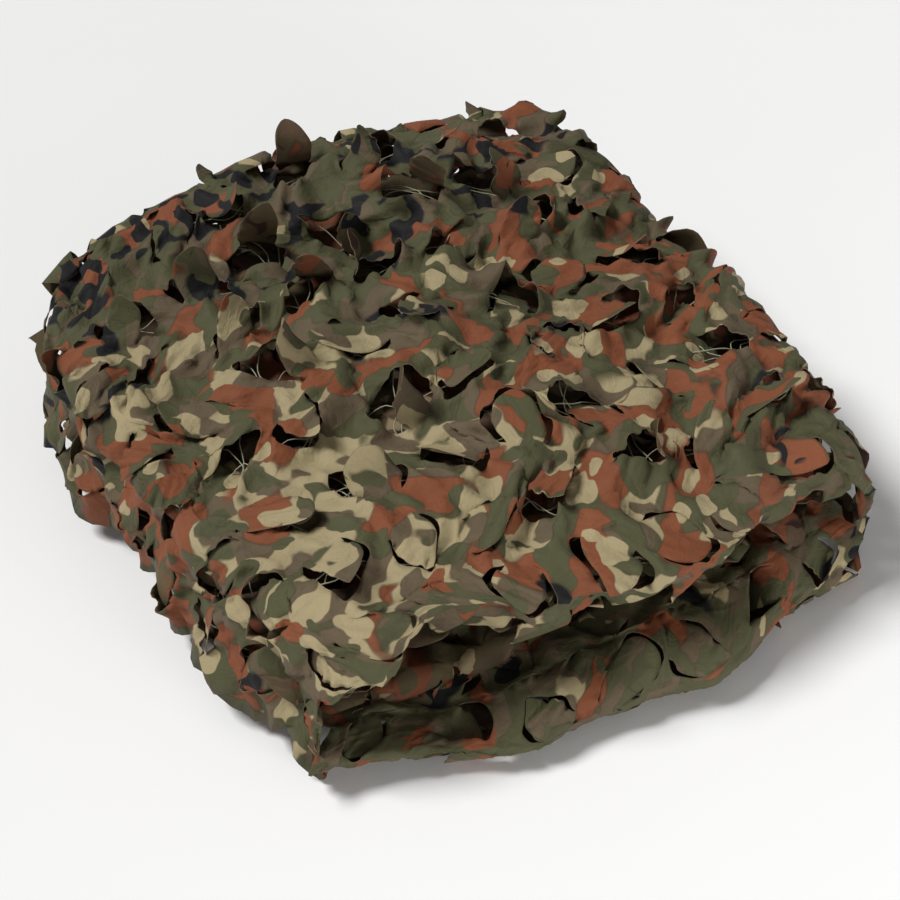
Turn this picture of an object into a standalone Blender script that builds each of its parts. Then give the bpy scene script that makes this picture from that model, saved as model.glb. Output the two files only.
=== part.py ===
"""Folded camouflage net: one length of incised cloth, folded back and forth into a
pack whose top layer drapes over both sides, with the cord net that backs it.

Metres, +Z up. The folds lie at the front (-Y) and the back (+Y). The origin is at the
middle of the pack's footprint, on the floor.

The cloth is laid out as a lattice of cells: rows run along the length of the strip,
columns across it. place() takes a point of the flat lattice to its place in the pack.
"""
import math
import random

import bpy
from mathutils import Vector, noise

# Cloth
CLOTH_THICKNESS = 0.002
BODY_WIDTH = 0.392        # across the pack, between the side drapes
BODY_COLUMNS = 7
DRAPE_COLUMNS = 2         # cells that hang down on each side of the top layer
COLUMN = BODY_WIDTH / BODY_COLUMNS
COLUMNS = BODY_COLUMNS + 2 * DRAPE_COLUMNS
DRAPE_BEND = 0.024        # radius of the bend over the side
DRAPE_FLARE = math.radians(4.0)
HEM_POINT = 0.014         # how far the leaf ends stand out from the hem

# Pack shape
CROWN = 0.27              # how much higher the middle is, as a share of the height
CROWN_CENTRE_Y = 0.06
CROWN_HALF_WIDTH = 0.25
CROWN_HALF_DEPTH = 0.32
LUMP = 0.07               # unevenness, as a share of the height
LUMP_PITCH = 0.13
SIDE_BULGE = 0.10         # how far the middle of each side stands out, as a share
HALF_DEPTH = 0.26
INNER_WIDTH_SHARE = 0.97  # inner layers stop short of the side drapes
LOWER_FOLD_SPREAD = 0.08  # how much further the lower front fold spreads sideways
STAGGER = 0.20            # alternate rows of cells are shifted sideways, in columns
WANDER = 0.16             # unevenness of the lattice, in cells
WANDER_PITCH = 2.1
FLOOR_CLEARANCE = 0.002   # leaves and hems stay this far above the floor
FLOOR_EDGE = 0.0025       # height of the lowest layer outside its flat foot
FOOT_ROWS = (31, 33)      # the part of the lowest layer that lies flat on the floor
FOOT_COLUMNS = (3, 8)
FOOT_WAIST = 0.03         # the foot's sides draw in, so that it rests on its corners

# Leaf cuts
LEAF_LENGTH = 0.043
LEAF_SHAPES = dict(       # along the leaf (share of its length), half width
    round=((0.00, 0.0115), (0.36, 0.0205), (0.78, 0.0165), (1.00, 0.0)),
    pointed=((0.00, 0.0140), (0.34, 0.0215), (0.66, 0.0125), (1.00, 0.0)),
)
LEAVES = (                # the leaves that stand out; the rest vary by chance
    # row, column, direction (0 to the front, 90 to +X), lift, curl per metre, shape
    (10, 5, 175, 70, 22, "pointed"),
    (10, 6, 150, 55, 10, "round"),
    (10, 7, 120, 45, 8, "pointed"),
    (11, 3, 150, 60, 6, "pointed"),
    (11, 5, 200, 65, 14, "round"),
    (11, 6, -70, 50, 12, "round"),
    (11, 7, 190, 45, 8, "round"),
    (12, 3, 180, 40, 12, "round"),
    (12, 4, -30, 30, 6, "round"),
    (12, 7, 160, 60, 4, "pointed"),
    (13, 2, 200, 15, 8, "round"),
    (13, 3, 215, 55, 14, "round"),
    (13, 5, -60, 15, 6, "round"),
    (13, 7, 110, 12, 6, "round"),
    (13, 8, 0, 40, 5, "pointed"),
    (14, 4, 225, 55, 14, "round"),
    (14, 5, 60, 9, 4, "round"),
    (14, 7, 60, 20, 8, "round"),
    (14, 9, 90, 60, 8, "round"),
    (15, 3, 180, 45, 15, "round"),
    (15, 4, -75, 14, 12, "round"),
    (16, 2, 10, 18, 8, "pointed"),
    (16, 4, 100, 12, 8, "pointed"),
    (16, 5, 5, 25, 2, "pointed"),
    (16, 8, 60, 25, 5, "pointed"),
    (17, 5, 100, 45, 12, "round"),
    (17, 8, 40, 25, 5, "round"),
)
CUT_LEAF_WIDTH = 0.88     # a curled leaf is narrower than the hole it leaves
FULL_ROW = 0.053          # a shorter row of cells has smaller leaves
SLOT_HALF_WIDTH = 0.017   # plain cuts of the inner layers, in every second cell
SLOT_HALF_LENGTH = 0.024

# Backing net
CORD = 0.0016
NET_GAP = 0.0005          # cloth to cord, where the cord passes under a web
KNOT_SAG = 0.003          # how much lower the knots hang inside the leaf cuts

SEED = 11

# The strip from its inner upper end to its inner lower end. Runs are level layers,
# and each fold joins the run it is named for to the next one.
RUNS = (
    # name, height, start y, end y, cells, kind of cell
    ("upper_inner_low", 0.081, 0.214, -0.165, 4, "slot"),
    ("upper_inner_high", 0.100, -0.165, 0.214, 4, "slot"),
    ("top", 0.124, 0.214, -0.204, 7, "leaf"),
    ("upper_under", 0.063, -0.204, 0.220, 4, "slot"),
    ("lower_over", 0.050, 0.220, -0.232, 4, "slot"),
    ("floor", FLOOR_EDGE, -0.232, 0.220, 4, "slot"),
    ("lower_inner_low", 0.017, 0.220, -0.190, 4, "slot"),
    ("lower_inner_high", 0.034, -0.190, 0.214, 4, "slot"),
)
FOLDS = (
    # after run, reach, cells, kind of cell
    ("upper_inner_low", 0.011, 1, "plain"),
    ("upper_inner_high", 0.020, 1, "plain"),
    ("top", 0.038, 2, "leaf"),
    ("upper_under", 0.010, 1, "plain"),
    ("lower_over", 0.034, 2, "leaf"),
    ("floor", 0.014, 1, "plain"),
    ("lower_inner_low", 0.011, 1, "plain"),
)
FOLD_UNEVENNESS = 0.30    # the front folds reach out more in some places than others


def strip_rows():
    """The strip's pieces in order: first row, cells, kind, and a curve of y and z."""
    folds = {name: (reach, cells, kind) for name, reach, cells, kind in FOLDS}
    pieces = []
    row = 0
    for number, (name, height, start, end, cells, kind) in enumerate(RUNS):
        pieces.append(dict(name=name, first=row, cells=cells, kind=kind,
                           curve=run_curve(height, start, end)))
        row += cells
        if name in folds:
            reach, cells, kind = folds[name]
            curve = fold_curve(end, height, RUNS[number + 1][1], reach)
            pieces.append(dict(name=name + "_fold", first=row, cells=cells, kind=kind,
                               curve=curve, at=end))
            row += cells
    return pieces


def run_curve(height, start, end):
    return lambda share: (start + (end - start) * share, height)


def fold_curve(at, z_from, z_to, reach):
    """Half an ellipse that bulges away from the middle of the pack."""
    side = math.copysign(1.0, at)
    middle = (z_from + z_to) / 2
    half = (z_from - z_to) / 2

    def curve(share):
        angle = math.pi * share
        return at + side * reach * math.sin(angle), middle + half * math.cos(angle)
    return curve


PIECES = strip_rows()
ROWS = PIECES[-1]["first"] + PIECES[-1]["cells"]
FIRST_ROW = {piece["name"]: piece["first"] for piece in PIECES}
TOP_ROW = FIRST_ROW["top"]
TOP_END = FIRST_ROW["top_fold"]
DRAPE_END = TOP_END + 1   # the side drapes turn the front corner with the fold
ROWS_UNDER_FOLDS = (TOP_END + 1, FIRST_ROW["lower_over_fold"] + 1)


def piece_at(row):
    found = PIECES[0]
    for piece in PIECES:
        if row >= piece["first"]:
            found = piece
    return found


def lumps(x, y):
    return noise.noise(Vector((x / LUMP_PITCH, y / LUMP_PITCH, 3.7)))


def height_share(x, y):
    """The pack is thicker in the middle and uneven all over."""
    across = max(0.0, 1 - (x / CROWN_HALF_WIDTH) ** 2)
    along = max(0.0, 1 - ((y - CROWN_CENTRE_Y) / CROWN_HALF_DEPTH) ** 2)
    return 1 + CROWN * across * along + LUMP * lumps(x, y)


def bulged(x, y, bulge):
    """Pushes the middle of each side of the footprint outwards."""
    wide = 1 + bulge * (1 - (y / HALF_DEPTH) ** 2)
    deep = 1 + bulge * (1 - (2 * x / BODY_WIDTH) ** 2)
    return x * wide, y * deep


def drape_offset(beyond):
    """Across and down from the edge of the top, for a length of cloth beyond it."""
    quarter = DRAPE_BEND * (math.pi / 2 - DRAPE_FLARE)
    angle = min(beyond, quarter) / DRAPE_BEND
    hanging = max(0.0, beyond - quarter)
    out = DRAPE_BEND * math.sin(angle) + hanging * math.sin(DRAPE_FLARE)
    down = DRAPE_BEND * (1 - math.cos(angle)) + hanging * math.cos(DRAPE_FLARE)
    return out, down


def off_foot(row, column):
    """0 on the flat foot, rising to 1 a cell away from it."""
    beyond_rows = max(FOOT_ROWS[0] - row, row - FOOT_ROWS[1])
    beyond_columns = max(FOOT_COLUMNS[0] - column, column - FOOT_COLUMNS[1])
    return min(1.0, max(0.0, beyond_rows, beyond_columns))


def wandered(row, column):
    """Staggers the rows of the outer layer and makes them uneven."""
    ease = min(1.0, max(0.0, row - TOP_ROW), max(0.0, ROWS - row))
    ease *= min(1.0, max(0.0, column), max(0.0, COLUMNS - column))
    ease *= off_foot(row, column)
    if not ease:
        return row, column
    spot = Vector((row / WANDER_PITCH, column / WANDER_PITCH, 0.0))
    along = WANDER * noise.noise(spot + Vector((0.0, 0.0, 9.1)))
    aside = WANDER * noise.noise(spot) + STAGGER * math.cos(math.pi * row)
    return row + ease * along, column + ease * aside


def place(row, column):
    """The point of the pack at a row and column of the flat lattice."""
    raised = off_foot(row, column)
    row, column = wandered(row, column)
    piece = piece_at(min(row, ROWS - 1e-6))
    in_piece = (row - piece["first"]) / piece["cells"]
    y, z = piece["curve"](in_piece)
    across = (column - COLUMNS / 2) * COLUMN
    edge = BODY_WIDTH / 2
    x = max(-edge, min(edge, across))
    beyond = abs(across) - edge
    inner = row < TOP_ROW or row > DRAPE_END
    if inner:
        x *= INNER_WIDTH_SHARE
    if piece["name"] == "lower_over_fold":
        x *= 1 + LOWER_FOLD_SPREAD * math.sin(math.pi * in_piece)
    share = height_share(x, y)
    x, y = bulged(x, y, SIDE_BULGE * raised - FOOT_WAIST * (1 - raised))
    if piece["name"] in ("top_fold", "lower_over_fold"):
        y += (y - piece["at"]) * FOLD_UNEVENNESS * lumps(2 * x, piece["at"])
    if z > FLOOR_EDGE:
        z *= share
    z -= (FLOOR_EDGE - CLOTH_THICKNESS / 2) * (1 - raised)
    if beyond > 0:
        out, down = drape_offset(beyond)
        x += math.copysign(out, across)
        z = max(z - down, FLOOR_CLEARANCE)
    return Vector((x, y, z))


def normal_at(row, column):
    """The cloth's outer side: up on the top layer, outwards on folds and drapes."""
    step = 0.05
    along = place(row + step, column) - place(row - step, column)
    across = place(row, column + step) - place(row, column - step)
    return along.cross(across).normalized()


class Lattice:
    """Collects the points and faces of an open surface."""

    def __init__(self):
        self.points = []
        self.faces = []
        self.known = {}

    def add(self, point):
        self.points.append(point)
        return len(self.points) - 1

    def shared(self, key, make):
        if key not in self.known:
            self.known[key] = self.add(make())
        return self.known[key]

    def ring(self, border, hole):
        """Faces between two loops, each a list of (point number, angle), by angle."""
        border = sorted(border, key=lambda item: item[1])
        hole = sorted(hole, key=lambda item: item[1])
        turn = 2 * math.pi
        first = min(range(len(hole)), key=lambda i: abs(hole[i][1] - border[0][1]))
        hole = hole[first:] + [(n, a + turn) for n, a in hole[:first]]
        i = j = 0
        while i < len(border) or j < len(hole):
            a, b = border[i % len(border)], hole[j % len(hole)]
            next_a = border[(i + 1) % len(border)]
            next_b = hole[(j + 1) % len(hole)]
            angle_a = next_a[1] + (turn if i + 1 >= len(border) else 0)
            angle_b = next_b[1] + (turn if j + 1 >= len(hole) else 0)
            if j >= len(hole) or (i < len(border) and angle_a <= angle_b):
                self.faces.append((a[0], next_a[0], b[0]))
                i += 1
            else:
                self.faces.append((a[0], next_b[0], b[0]))
                j += 1

    def object(self, name, thickness, material):
        mesh = bpy.data.meshes.new(name)
        mesh.from_pydata(self.points, [], self.faces)
        mesh.materials.append(material)
        made = bpy.data.objects.new(name, mesh)
        solid = made.modifiers.new("thickness", "SOLIDIFY")
        solid.thickness = thickness
        solid.offset = 0.0
        return made


def hem_reach(row, column):
    """How far a point of the outer hem stands out, in columns."""
    on_hem = column in (0, COLUMNS)
    pointed = row != int(row)
    return HEM_POINT / COLUMN if on_hem and pointed else 0.0


def border_point(row, column):
    outward = math.copysign(hem_reach(row, column), column - COLUMNS / 2)
    return place(row, column + outward)


def cell_kind(row, column):
    """Leaf, slot, plain, or None where there is no cloth."""
    on_drape = column < DRAPE_COLUMNS or column >= COLUMNS - DRAPE_COLUMNS
    if on_drape and not TOP_ROW <= row < DRAPE_END:
        return None
    kind = piece_at(row)["kind"]
    if kind == "slot" and (row + column) % 2:
        return "plain"
    return kind


def border_keys(row, column):
    """The cell's eight border points as (row, column), once around."""
    return ((row, column), (row, column + 0.5), (row, column + 1),
            (row + 0.5, column + 1), (row + 1, column + 1),
            (row + 1, column + 0.5), (row + 1, column), (row + 0.5, column))


def is_fine(row, column):
    if not (0 <= row < ROWS and 0 <= column < COLUMNS):
        return False
    return cell_kind(row, column) == "leaf"


def border_loop(lattice, row, column):
    """Corners, and the middle of each edge that a leaf cell shares, with angles."""
    neighbours = {(row, column + 0.5): (row - 1, column),
                  (row + 0.5, column + 1): (row, column + 1),
                  (row + 1, column + 0.5): (row + 1, column),
                  (row + 0.5, column): (row, column - 1)}
    loop = []
    for key in border_keys(row, column):
        if key in neighbours and not (is_fine(row, column)
                                      or is_fine(*neighbours[key])):
            continue
        number = lattice.shared(key, lambda: border_point(*key))
        angle = math.atan2(key[1] - column - 0.5, key[0] - row - 0.5)
        loop.append((number, angle))
    return loop


def leaf_style(row, column, rng):
    """Direction in the sheet, lift at the root, curl and shape of one cell's leaf."""
    direction = rng.uniform(-math.pi, math.pi)
    lift = rng.uniform(0.15, 0.70)
    curl = rng.uniform(4.0, 20.0)
    shape = rng.choice(("round", "pointed"))
    known = {leaf[:2]: leaf[2:] for leaf in LEAVES}
    if (row, column) in known:
        degrees, lift_degrees, curl, shape = known[row, column]
        direction = math.radians(degrees)
        lift = math.radians(lift_degrees)
    elif column < DRAPE_COLUMNS or column >= COLUMNS - DRAPE_COLUMNS:
        hanging = -math.pi / 2 if column < COLUMNS / 2 else math.pi / 2
        direction = hanging + rng.uniform(-0.6, 0.6)
        lift = rng.uniform(0.2, 0.5)
        on_bend = column in (DRAPE_COLUMNS - 1, COLUMNS - DRAPE_COLUMNS)
        curl = rng.uniform(-24.0, -12.0) if on_bend else rng.uniform(-8.0, 4.0)
    elif row in ROWS_UNDER_FOLDS:
        direction = math.pi + rng.uniform(-0.5, 0.5)
        lift = rng.uniform(0.15, 0.4)
        curl = rng.uniform(-4.0, 2.0)
    elif row >= TOP_END:
        direction = rng.uniform(-1.2, 1.2)
        lift = rng.uniform(0.10, 0.50)
        curl = rng.uniform(-8.0, 6.0)
    return direction, lift, curl, shape


def leaf_cell(lattice, row, column, rng):
    """A cell with its leaf cut free on all sides but its root, and curled up."""
    direction, lift, curl, shape = leaf_style(row, column, rng)
    row_length = (place(row + 1, column + 0.5) - place(row, column + 0.5)).length
    size = min(1.0, row_length / FULL_ROW)
    shift = (rng.uniform(-0.05, 0.05), rng.uniform(-0.05, 0.05))
    length = LEAF_LENGTH * size

    def spot(along, aside):
        """Lattice row and column of a point of the leaf, from its middle."""
        a = along - length / 2
        rows = (a * math.cos(direction) - aside * math.sin(direction)) / row_length
        columns = (a * math.sin(direction) + aside * math.cos(direction)) / COLUMN
        return row + 0.5 + shift[0] + rows, column + 0.5 + shift[1] + columns

    root = spot(0.0, 0.0)
    origin = place(*root)
    up = normal_at(*root)
    forward = (place(*spot(0.004, 0.0)) - origin).normalized()
    forward = (forward - up * forward.dot(up)).normalized()

    rim = []
    blade = []
    for share, half in LEAF_SHAPES[shape]:
        along = share * length
        for aside in ((-half * size, half * size) if half else (0.0,)):
            number = lattice.add(place(*spot(along, aside)))
            where = spot(along, aside)
            angle = math.atan2(where[1] - column - 0.5, where[0] - row - 0.5)
            rim.append((number, angle))
            if share == 0:
                blade.append(number)
                continue
            free = place(*spot(0.0, CUT_LEAF_WIDTH * aside))
            free += curled(along, lift, curl, forward, up)
            free.z = max(free.z, FLOOR_CLEARANCE)
            blade.append(lattice.add(free))
    lattice.ring(border_loop(lattice, row, column), rim)
    left, right = blade[0::2], blade[1::2]
    for lower in range(len(right) - 1):
        lattice.faces.append((left[lower], left[lower + 1],
                              right[lower + 1], right[lower]))
    lattice.faces.append((left[-2], left[-1], right[-1]))


def curled(along, lift, curl, forward, up, steps=6):
    """Offset from the root of a point on a leaf that lifts and curls steadily."""
    ahead = rise = 0.0
    for step in range(steps):
        angle = lift + curl * along * (step + 0.5) / steps
        ahead += math.cos(angle) * along / steps
        rise += math.sin(angle) * along / steps
    return forward * ahead + up * rise


def slot_cell(lattice, row, column):
    """A cell of an inner layer with a plain cut."""
    row_length = (place(row + 1, column + 0.5) - place(row, column + 0.5)).length
    half_rows = SLOT_HALF_LENGTH / row_length
    half_columns = SLOT_HALF_WIDTH / COLUMN
    hole = []
    for rows, columns in ((-1, -1), (-1, 1), (1, 1), (1, -1)):
        where = (row + 0.5 + rows * half_rows, column + 0.5 + columns * half_columns)
        number = lattice.add(place(*where))
        hole.append((number, math.atan2(columns * half_columns, rows * half_rows)))
    lattice.ring(border_loop(lattice, row, column), hole)


def incised_cloth(material):
    rng = random.Random(SEED)
    lattice = Lattice()
    for row in range(ROWS):
        for column in range(COLUMNS):
            kind = cell_kind(row, column)
            if kind == "leaf":
                leaf_cell(lattice, row, column, rng)
            elif kind == "slot":
                slot_cell(lattice, row, column)
            elif kind == "plain":
                loop = border_loop(lattice, row, column)
                loop.sort(key=lambda item: item[1])
                lattice.faces.append(tuple(number for number, angle in loop))
    return lattice.object("incised_cloth", CLOTH_THICKNESS, material)


def net_point(row, column, sag):
    drop = (CLOTH_THICKNESS + CORD) / 2 + NET_GAP + sag
    return place(row, column) - normal_at(row, column) * drop


def backing_net(material):
    """Square-meshed net whose knots lie under the middles of the leaf cells."""
    lattice = Lattice()
    inset_rows = CORD / 2 / FULL_ROW
    inset_columns = CORD / 2 / COLUMN
    for row in range(TOP_ROW, TOP_END - 1):
        for column in range(COLUMNS - 1):
            middle = (row + 1.0, column + 1.0)
            border = []
            hole = []
            for key in border_keys(row + 0.5, column + 0.5):
                side = (key[0] - middle[0], key[1] - middle[1])
                angle = math.atan2(side[1], side[0])
                on_top = abs(key[1] - COLUMNS / 2) < BODY_COLUMNS / 2
                under_web = on_top and not (side[0] and side[1])
                sag = 0.0 if under_web else KNOT_SAG
                number = lattice.shared(key, lambda: net_point(*key, sag))
                border.append((number, angle))
                inner = (key[0] - math.copysign(inset_rows, side[0]) * (side[0] != 0),
                         key[1] - math.copysign(inset_columns, side[1]) * (side[1] != 0))
                hole.append((lattice.add(net_point(*inner, sag)), angle))
            lattice.ring(border, hole)
    return lattice.object("backing_net", CORD, material)


def fabric(name, colour, roughness):
    material = bpy.data.materials.new(name)
    material.use_nodes = True
    shader = material.node_tree.nodes["Principled BSDF"]
    shader.inputs["Base Color"].default_value = (*colour, 1.0)
    shader.inputs["Roughness"].default_value = roughness
    shader.inputs["Metallic"].default_value = 0.0
    return material


def centre_on_floor(objects):
    """Moves the objects so that the middle of their footprint is the origin."""
    bpy.context.view_layer.update()
    graph = bpy.context.evaluated_depsgraph_get()
    points = []
    for made in objects:
        mesh = made.evaluated_get(graph).to_mesh()
        points += [vertex.co.copy() for vertex in mesh.vertices]
    low = [min(point[axis] for point in points) for axis in range(3)]
    high = [max(point[axis] for point in points) for axis in range(3)]
    for made in objects:
        made.location = (-(low[0] + high[0]) / 2, -(low[1] + high[1]) / 2, -low[2])


def main():
    for old in list(bpy.data.objects):
        bpy.data.objects.remove(old, do_unlink=True)
    parts = bpy.data.collections.new("folded_camouflage_net")
    bpy.context.scene.collection.children.link(parts)
    made = [incised_cloth(fabric("printed_cloth", (0.10, 0.09, 0.05), 0.8)),
            backing_net(fabric("net_cord", (0.25, 0.29, 0.20), 0.7))]
    for item in made:
        parts.objects.link(item)
    centre_on_floor(made)


main()
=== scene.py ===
"""Looks of the folded camouflage net: incised printed cloth, folded into a pack, and the
cord net that backs its top layer.

The cloth is laid out as a flat strip of cells, rows along it and columns across, and
place() takes a point of the flat strip to its place in the pack, in metres.
"""

import math
import random

import bpy
import numpy as np
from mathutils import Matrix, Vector, noise


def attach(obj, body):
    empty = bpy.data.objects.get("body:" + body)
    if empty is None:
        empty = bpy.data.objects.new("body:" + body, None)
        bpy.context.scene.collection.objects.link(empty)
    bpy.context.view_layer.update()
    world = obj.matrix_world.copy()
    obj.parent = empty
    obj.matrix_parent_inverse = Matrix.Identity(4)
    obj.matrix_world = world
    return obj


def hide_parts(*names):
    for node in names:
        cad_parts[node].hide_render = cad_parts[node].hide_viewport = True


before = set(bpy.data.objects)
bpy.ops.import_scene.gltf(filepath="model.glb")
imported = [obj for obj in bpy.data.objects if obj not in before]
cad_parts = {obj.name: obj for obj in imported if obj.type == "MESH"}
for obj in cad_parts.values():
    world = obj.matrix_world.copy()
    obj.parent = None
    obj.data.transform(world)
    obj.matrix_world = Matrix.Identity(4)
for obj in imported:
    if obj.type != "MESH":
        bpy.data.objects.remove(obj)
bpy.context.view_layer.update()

# ---------------------------------------------------------------- camera
AZIMUTH = math.radians(-30.0)
ELEVATION = math.radians(42.5)
DISTANCE = 2.0
LENS = 107.3
AIM = Vector((0.0, 0.0, 0.07))
AIM_RIGHT = 0.00172        # the aim point's place in the frame, in metres at the pack
AIM_DOWN = 0.0132


def make_camera():
    back = Vector((math.sin(AZIMUTH) * math.cos(ELEVATION),
                   -math.cos(AZIMUTH) * math.cos(ELEVATION), math.sin(ELEVATION)))
    right = Vector((math.cos(AZIMUTH), math.sin(AZIMUTH), 0.0))
    up = back.cross(right)
    centre = AIM + right * AIM_RIGHT - up * AIM_DOWN
    data = bpy.data.cameras.new("camera")
    data.lens = LENS
    data.sensor_width = 36.0
    data.clip_end = 20.0
    camera = bpy.data.objects.new("camera", data)
    camera.location = centre + back * DISTANCE
    camera.rotation_euler = (-back).to_track_quat("-Z", "Y").to_euler()
    bpy.context.scene.collection.objects.link(camera)
    bpy.context.scene.camera = camera


make_camera()


def clamp(value):
    return min(1.0, max(0.0, value))


def noise_at(x, y, z):
    return noise.noise(Vector((x, y, z)))


def smooth_noise(a, b, layer, pitch):
    return noise_at(a / pitch, b / pitch, layer)


# ---------------------------------------------------------------- the folded strip
# Lengths are in metres, and rows and columns are cells of the flat strip
CLOTH_THICKNESS = 0.002    # of the CAD solid
BODY_WIDTH = 0.392         # of the layers, without the drapes at the sides
BODY_COLUMNS = 7
DRAPE_COLUMNS = 2          # at either side
COLUMN = BODY_WIDTH / BODY_COLUMNS
COLUMNS = BODY_COLUMNS + 2 * DRAPE_COLUMNS
DRAPE_BEND = 0.024         # radius over which a drape turns down
DRAPE_FLARE = math.radians(4.0)
HEM_POINT = 0.014          # how far a leaf of the hem stands out
CROWN = 0.27               # how much higher the pack is at its crown, as a share
CROWN_CENTRE_Y = 0.06
CROWN_HALF_WIDTH = 0.25
CROWN_HALF_DEPTH = 0.32
LUMP = 0.07                # the same at its lumps
LUMP_PITCH = 0.13
SIDE_BULGE = 0.10          # how much wider and deeper it is at its middle, as a share
HALF_DEPTH = 0.26
INNER_WIDTH_SHARE = 0.97   # of the layers inside, against the top one
LOWER_FOLD_SPREAD = 0.08   # how much wider the lower front fold is at its nose
STAGGER = 0.20             # how far each row of cells is set off, by turns, in columns
WANDER = 0.16              # how uneven the cells are, in cells
WANDER_PITCH = 2.1
FLOOR_CLEARANCE = 0.002
FLOOR_EDGE = 0.0025        # height of the lowest layer around its foot
FOOT_ROWS = (31, 33)       # the flat foot that the pack rests on
FOOT_COLUMNS = (3, 8)
FOOT_WAIST = 0.03          # how much narrower the pack is there, as a share
FOLD_UNEVENNESS = 0.30     # how much the reach of a front fold varies, as a share
PACK_SHIFT = Vector((0.000769, 0.031386, 0.0))  # middle of the footprint to the origin

RUNS = (
    # name, height, start y, end y, cells
    ("upper_inner_low", 0.081, 0.214, -0.165, 4),
    ("upper_inner_high", 0.100, -0.165, 0.214, 4),
    ("top", 0.124, 0.214, -0.204, 7),
    ("upper_under", 0.063, -0.204, 0.220, 4),
    ("lower_over", 0.050, 0.220, -0.232, 4),
    ("floor", FLOOR_EDGE, -0.232, 0.220, 4),
    ("lower_inner_low", 0.017, 0.220, -0.190, 4),
    ("lower_inner_high", 0.034, -0.190, 0.214, 4),
)
FOLDS = {
    # after run: reach, cells
    "upper_inner_low": (0.011, 1),
    "upper_inner_high": (0.020, 1),
    "top": (0.038, 2),
    "upper_under": (0.010, 1),
    "lower_over": (0.034, 2),
    "floor": (0.014, 1),
    "lower_inner_low": (0.011, 1),
}


def run_curve(height, start, end):
    return lambda share: (start + (end - start) * share, height)


def fold_curve(at, z_from, z_to, reach):
    """Half an ellipse that bulges away from the middle of the pack."""
    side = math.copysign(1.0, at)
    middle = (z_from + z_to) / 2
    half = (z_from - z_to) / 2

    def curve(share):
        angle = math.pi * share
        return at + side * reach * math.sin(angle), middle + half * math.cos(angle)
    return curve


def curve_length(curve, steps=16):
    points = [Vector(curve(step / steps)) for step in range(steps + 1)]
    return sum((b - a).length for a, b in zip(points, points[1:]))


def strip_pieces():
    """The strip's pieces in order: name, first row, cells, curve, length and start."""
    pieces = []
    row = 0
    begin = 0.0
    for number, (name, height, start, end, cells) in enumerate(RUNS):
        parts = [(name, cells, run_curve(height, start, end))]
        if name in FOLDS:
            reach, fold_cells = FOLDS[name]
            curve = fold_curve(end, height, RUNS[number + 1][1], reach)
            parts.append((name + "_fold", fold_cells, curve))
        for part_name, part_cells, curve in parts:
            length = curve_length(curve)
            pieces.append(dict(name=part_name, first=row, cells=part_cells, curve=curve,
                               at=end, length=length, begin=begin))
            row += part_cells
            begin += length
    return pieces


PIECES = strip_pieces()
ROWS = PIECES[-1]["first"] + PIECES[-1]["cells"]
FIRST_ROW = {piece["name"]: piece["first"] for piece in PIECES}
TOP_ROW = FIRST_ROW["top"]
TOP_END = FIRST_ROW["top_fold"]
DRAPE_END = TOP_END + 1
LOWER_FOLD = FIRST_ROW["lower_over_fold"]


def piece_at(row):
    found = PIECES[0]
    for piece in PIECES:
        if row >= piece["first"]:
            found = piece
    return found


def strip_length(row):
    """Distance along the flat strip from its upper end."""
    piece = piece_at(min(row, ROWS - 1e-6))
    return piece["begin"] + piece["length"] * (row - piece["first"]) / piece["cells"]


def lumps(x, y):
    return smooth_noise(x, y, 3.7, LUMP_PITCH)


def height_share(x, y):
    across = max(0.0, 1 - (x / CROWN_HALF_WIDTH) ** 2)
    along = max(0.0, 1 - ((y - CROWN_CENTRE_Y) / CROWN_HALF_DEPTH) ** 2)
    return 1 + CROWN * across * along + LUMP * lumps(x, y)


def bulged(x, y, bulge):
    wide = 1 + bulge * (1 - (y / HALF_DEPTH) ** 2)
    deep = 1 + bulge * (1 - (2 * x / BODY_WIDTH) ** 2)
    return x * wide, y * deep


def drape_offset(beyond):
    quarter = DRAPE_BEND * (math.pi / 2 - DRAPE_FLARE)
    angle = min(beyond, quarter) / DRAPE_BEND
    hanging = max(0.0, beyond - quarter)
    out = DRAPE_BEND * math.sin(angle) + hanging * math.sin(DRAPE_FLARE)
    down = DRAPE_BEND * (1 - math.cos(angle)) + hanging * math.cos(DRAPE_FLARE)
    return out, down


def off_foot(row, column):
    """0 on the flat foot, rising to 1 a cell away from it."""
    beyond_rows = max(FOOT_ROWS[0] - row, row - FOOT_ROWS[1])
    beyond_columns = max(FOOT_COLUMNS[0] - column, column - FOOT_COLUMNS[1])
    return clamp(max(beyond_rows, beyond_columns))


def wandered(row, column):
    """Staggers the rows of cells and makes them uneven."""
    ease = clamp(min(row - TOP_ROW, ROWS - row)) * clamp(min(column, COLUMNS - column))
    ease *= off_foot(row, column)
    if not ease:
        return row, column
    along = WANDER * smooth_noise(row, column, 9.1, WANDER_PITCH)
    aside = WANDER * smooth_noise(row, column, 0.0, WANDER_PITCH)
    aside += STAGGER * math.cos(math.pi * row)
    return row + ease * along, column + ease * aside


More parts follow.
